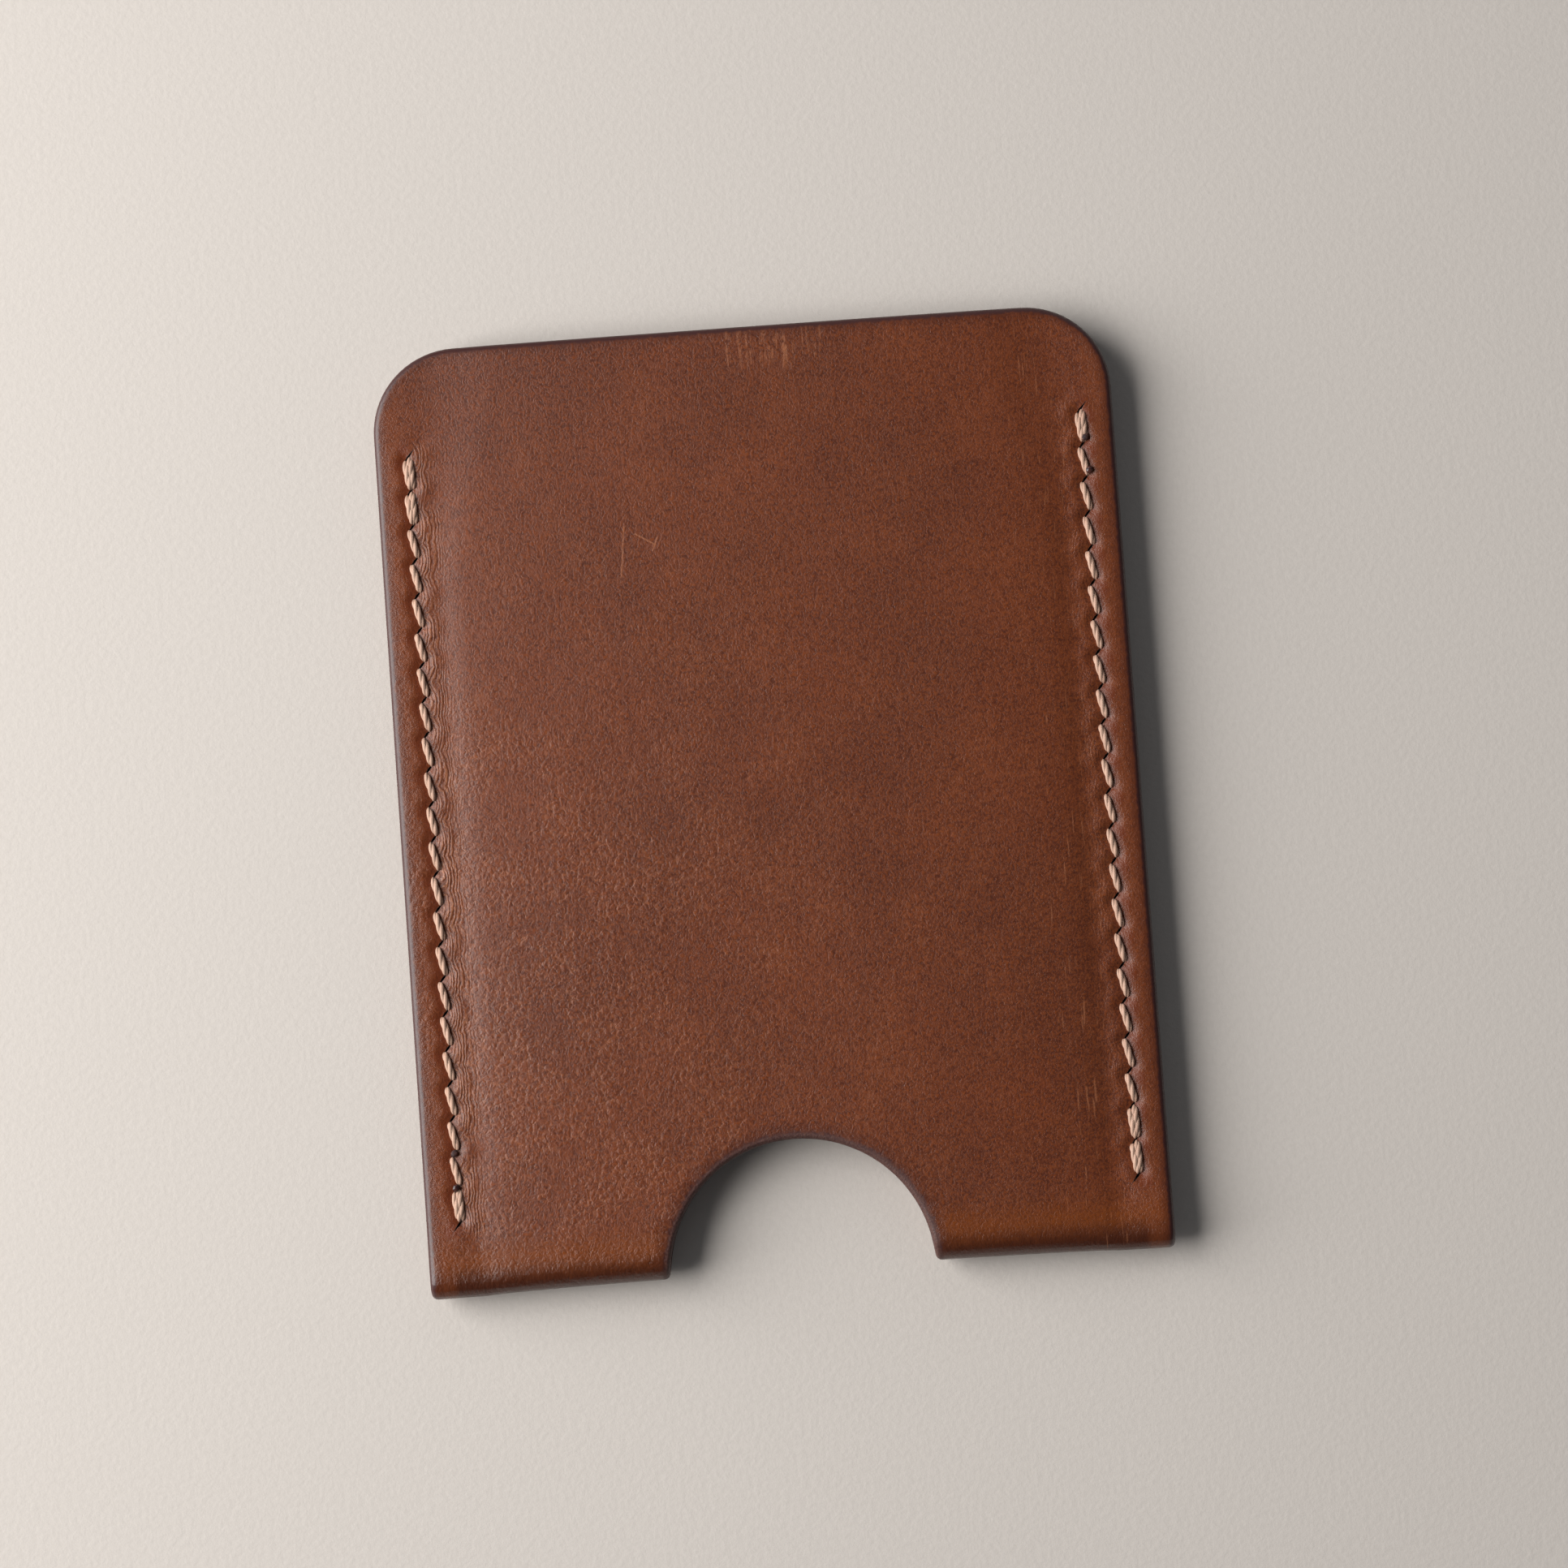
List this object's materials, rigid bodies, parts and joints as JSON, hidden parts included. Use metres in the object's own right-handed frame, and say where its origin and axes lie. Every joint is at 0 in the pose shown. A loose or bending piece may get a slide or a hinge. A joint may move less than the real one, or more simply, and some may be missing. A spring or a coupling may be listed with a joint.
{
  "type": "card holder",
  "caption": "Flat folded leather card holder, saddle stitched down both sides, with an open mouth and a round thumb notch through the fold.",
  "frame": {"origin": "on the surface the holder lies on, under the middle of its bounding box", "axes": "+X across the holder to the right, +Y from the fold up to the open mouth, +Z out of the front face"},
  "size_m": [0.0718, 0.092, 0.0049],
  "materials": {
    "leather": "waxed bridle tan, fine grain, dark burnished edges",
    "contact_cement": "dull dried film",
    "waxed_thread": "natural waxed linen, twisted",
    "singed_thread": "melted and charred bead"
  },
  "bodies": {
    "root": {"leather_body": "leather", "left_glue_line": "contact_cement", "right_glue_line": "contact_cement", "left_seam_thread": "waxed_thread", "right_seam_thread": "waxed_thread", "left_thread_ends": "singed_thread", "right_thread_ends": "singed_thread"}
  },
  "joints": []
}
